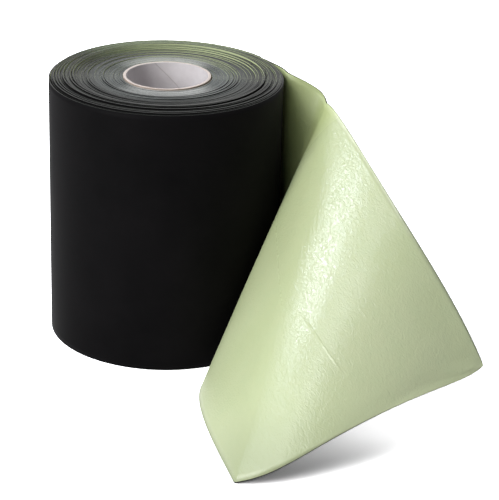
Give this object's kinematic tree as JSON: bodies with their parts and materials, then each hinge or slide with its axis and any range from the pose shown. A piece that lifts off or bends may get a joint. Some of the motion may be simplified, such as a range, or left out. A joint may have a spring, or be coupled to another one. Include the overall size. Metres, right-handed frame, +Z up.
{
  "type": "roll of rubber roofing membrane",
  "caption": "Black rubber membrane with a green release film, wound on a paperboard core and standing on end, its loose end pulled out, folded over and draped to the floor.",
  "frame": {"origin": "on the roll's axis, in the plane of the floor that it stands on", "axes": "+Z up along the roll's axis; +X to the side where the loose end leaves; the loose end comes forward towards -Y"},
  "size_m": [0.3953, 0.4293, 0.2516],
  "materials": {
    "core_board": "matte",
    "rubber": "satin",
    "film": "satin"
  },
  "bodies": {
    "root": {"core_tube": "core_board", "membrane": "rubber", "release_film": "film"}
  },
  "joints": []
}
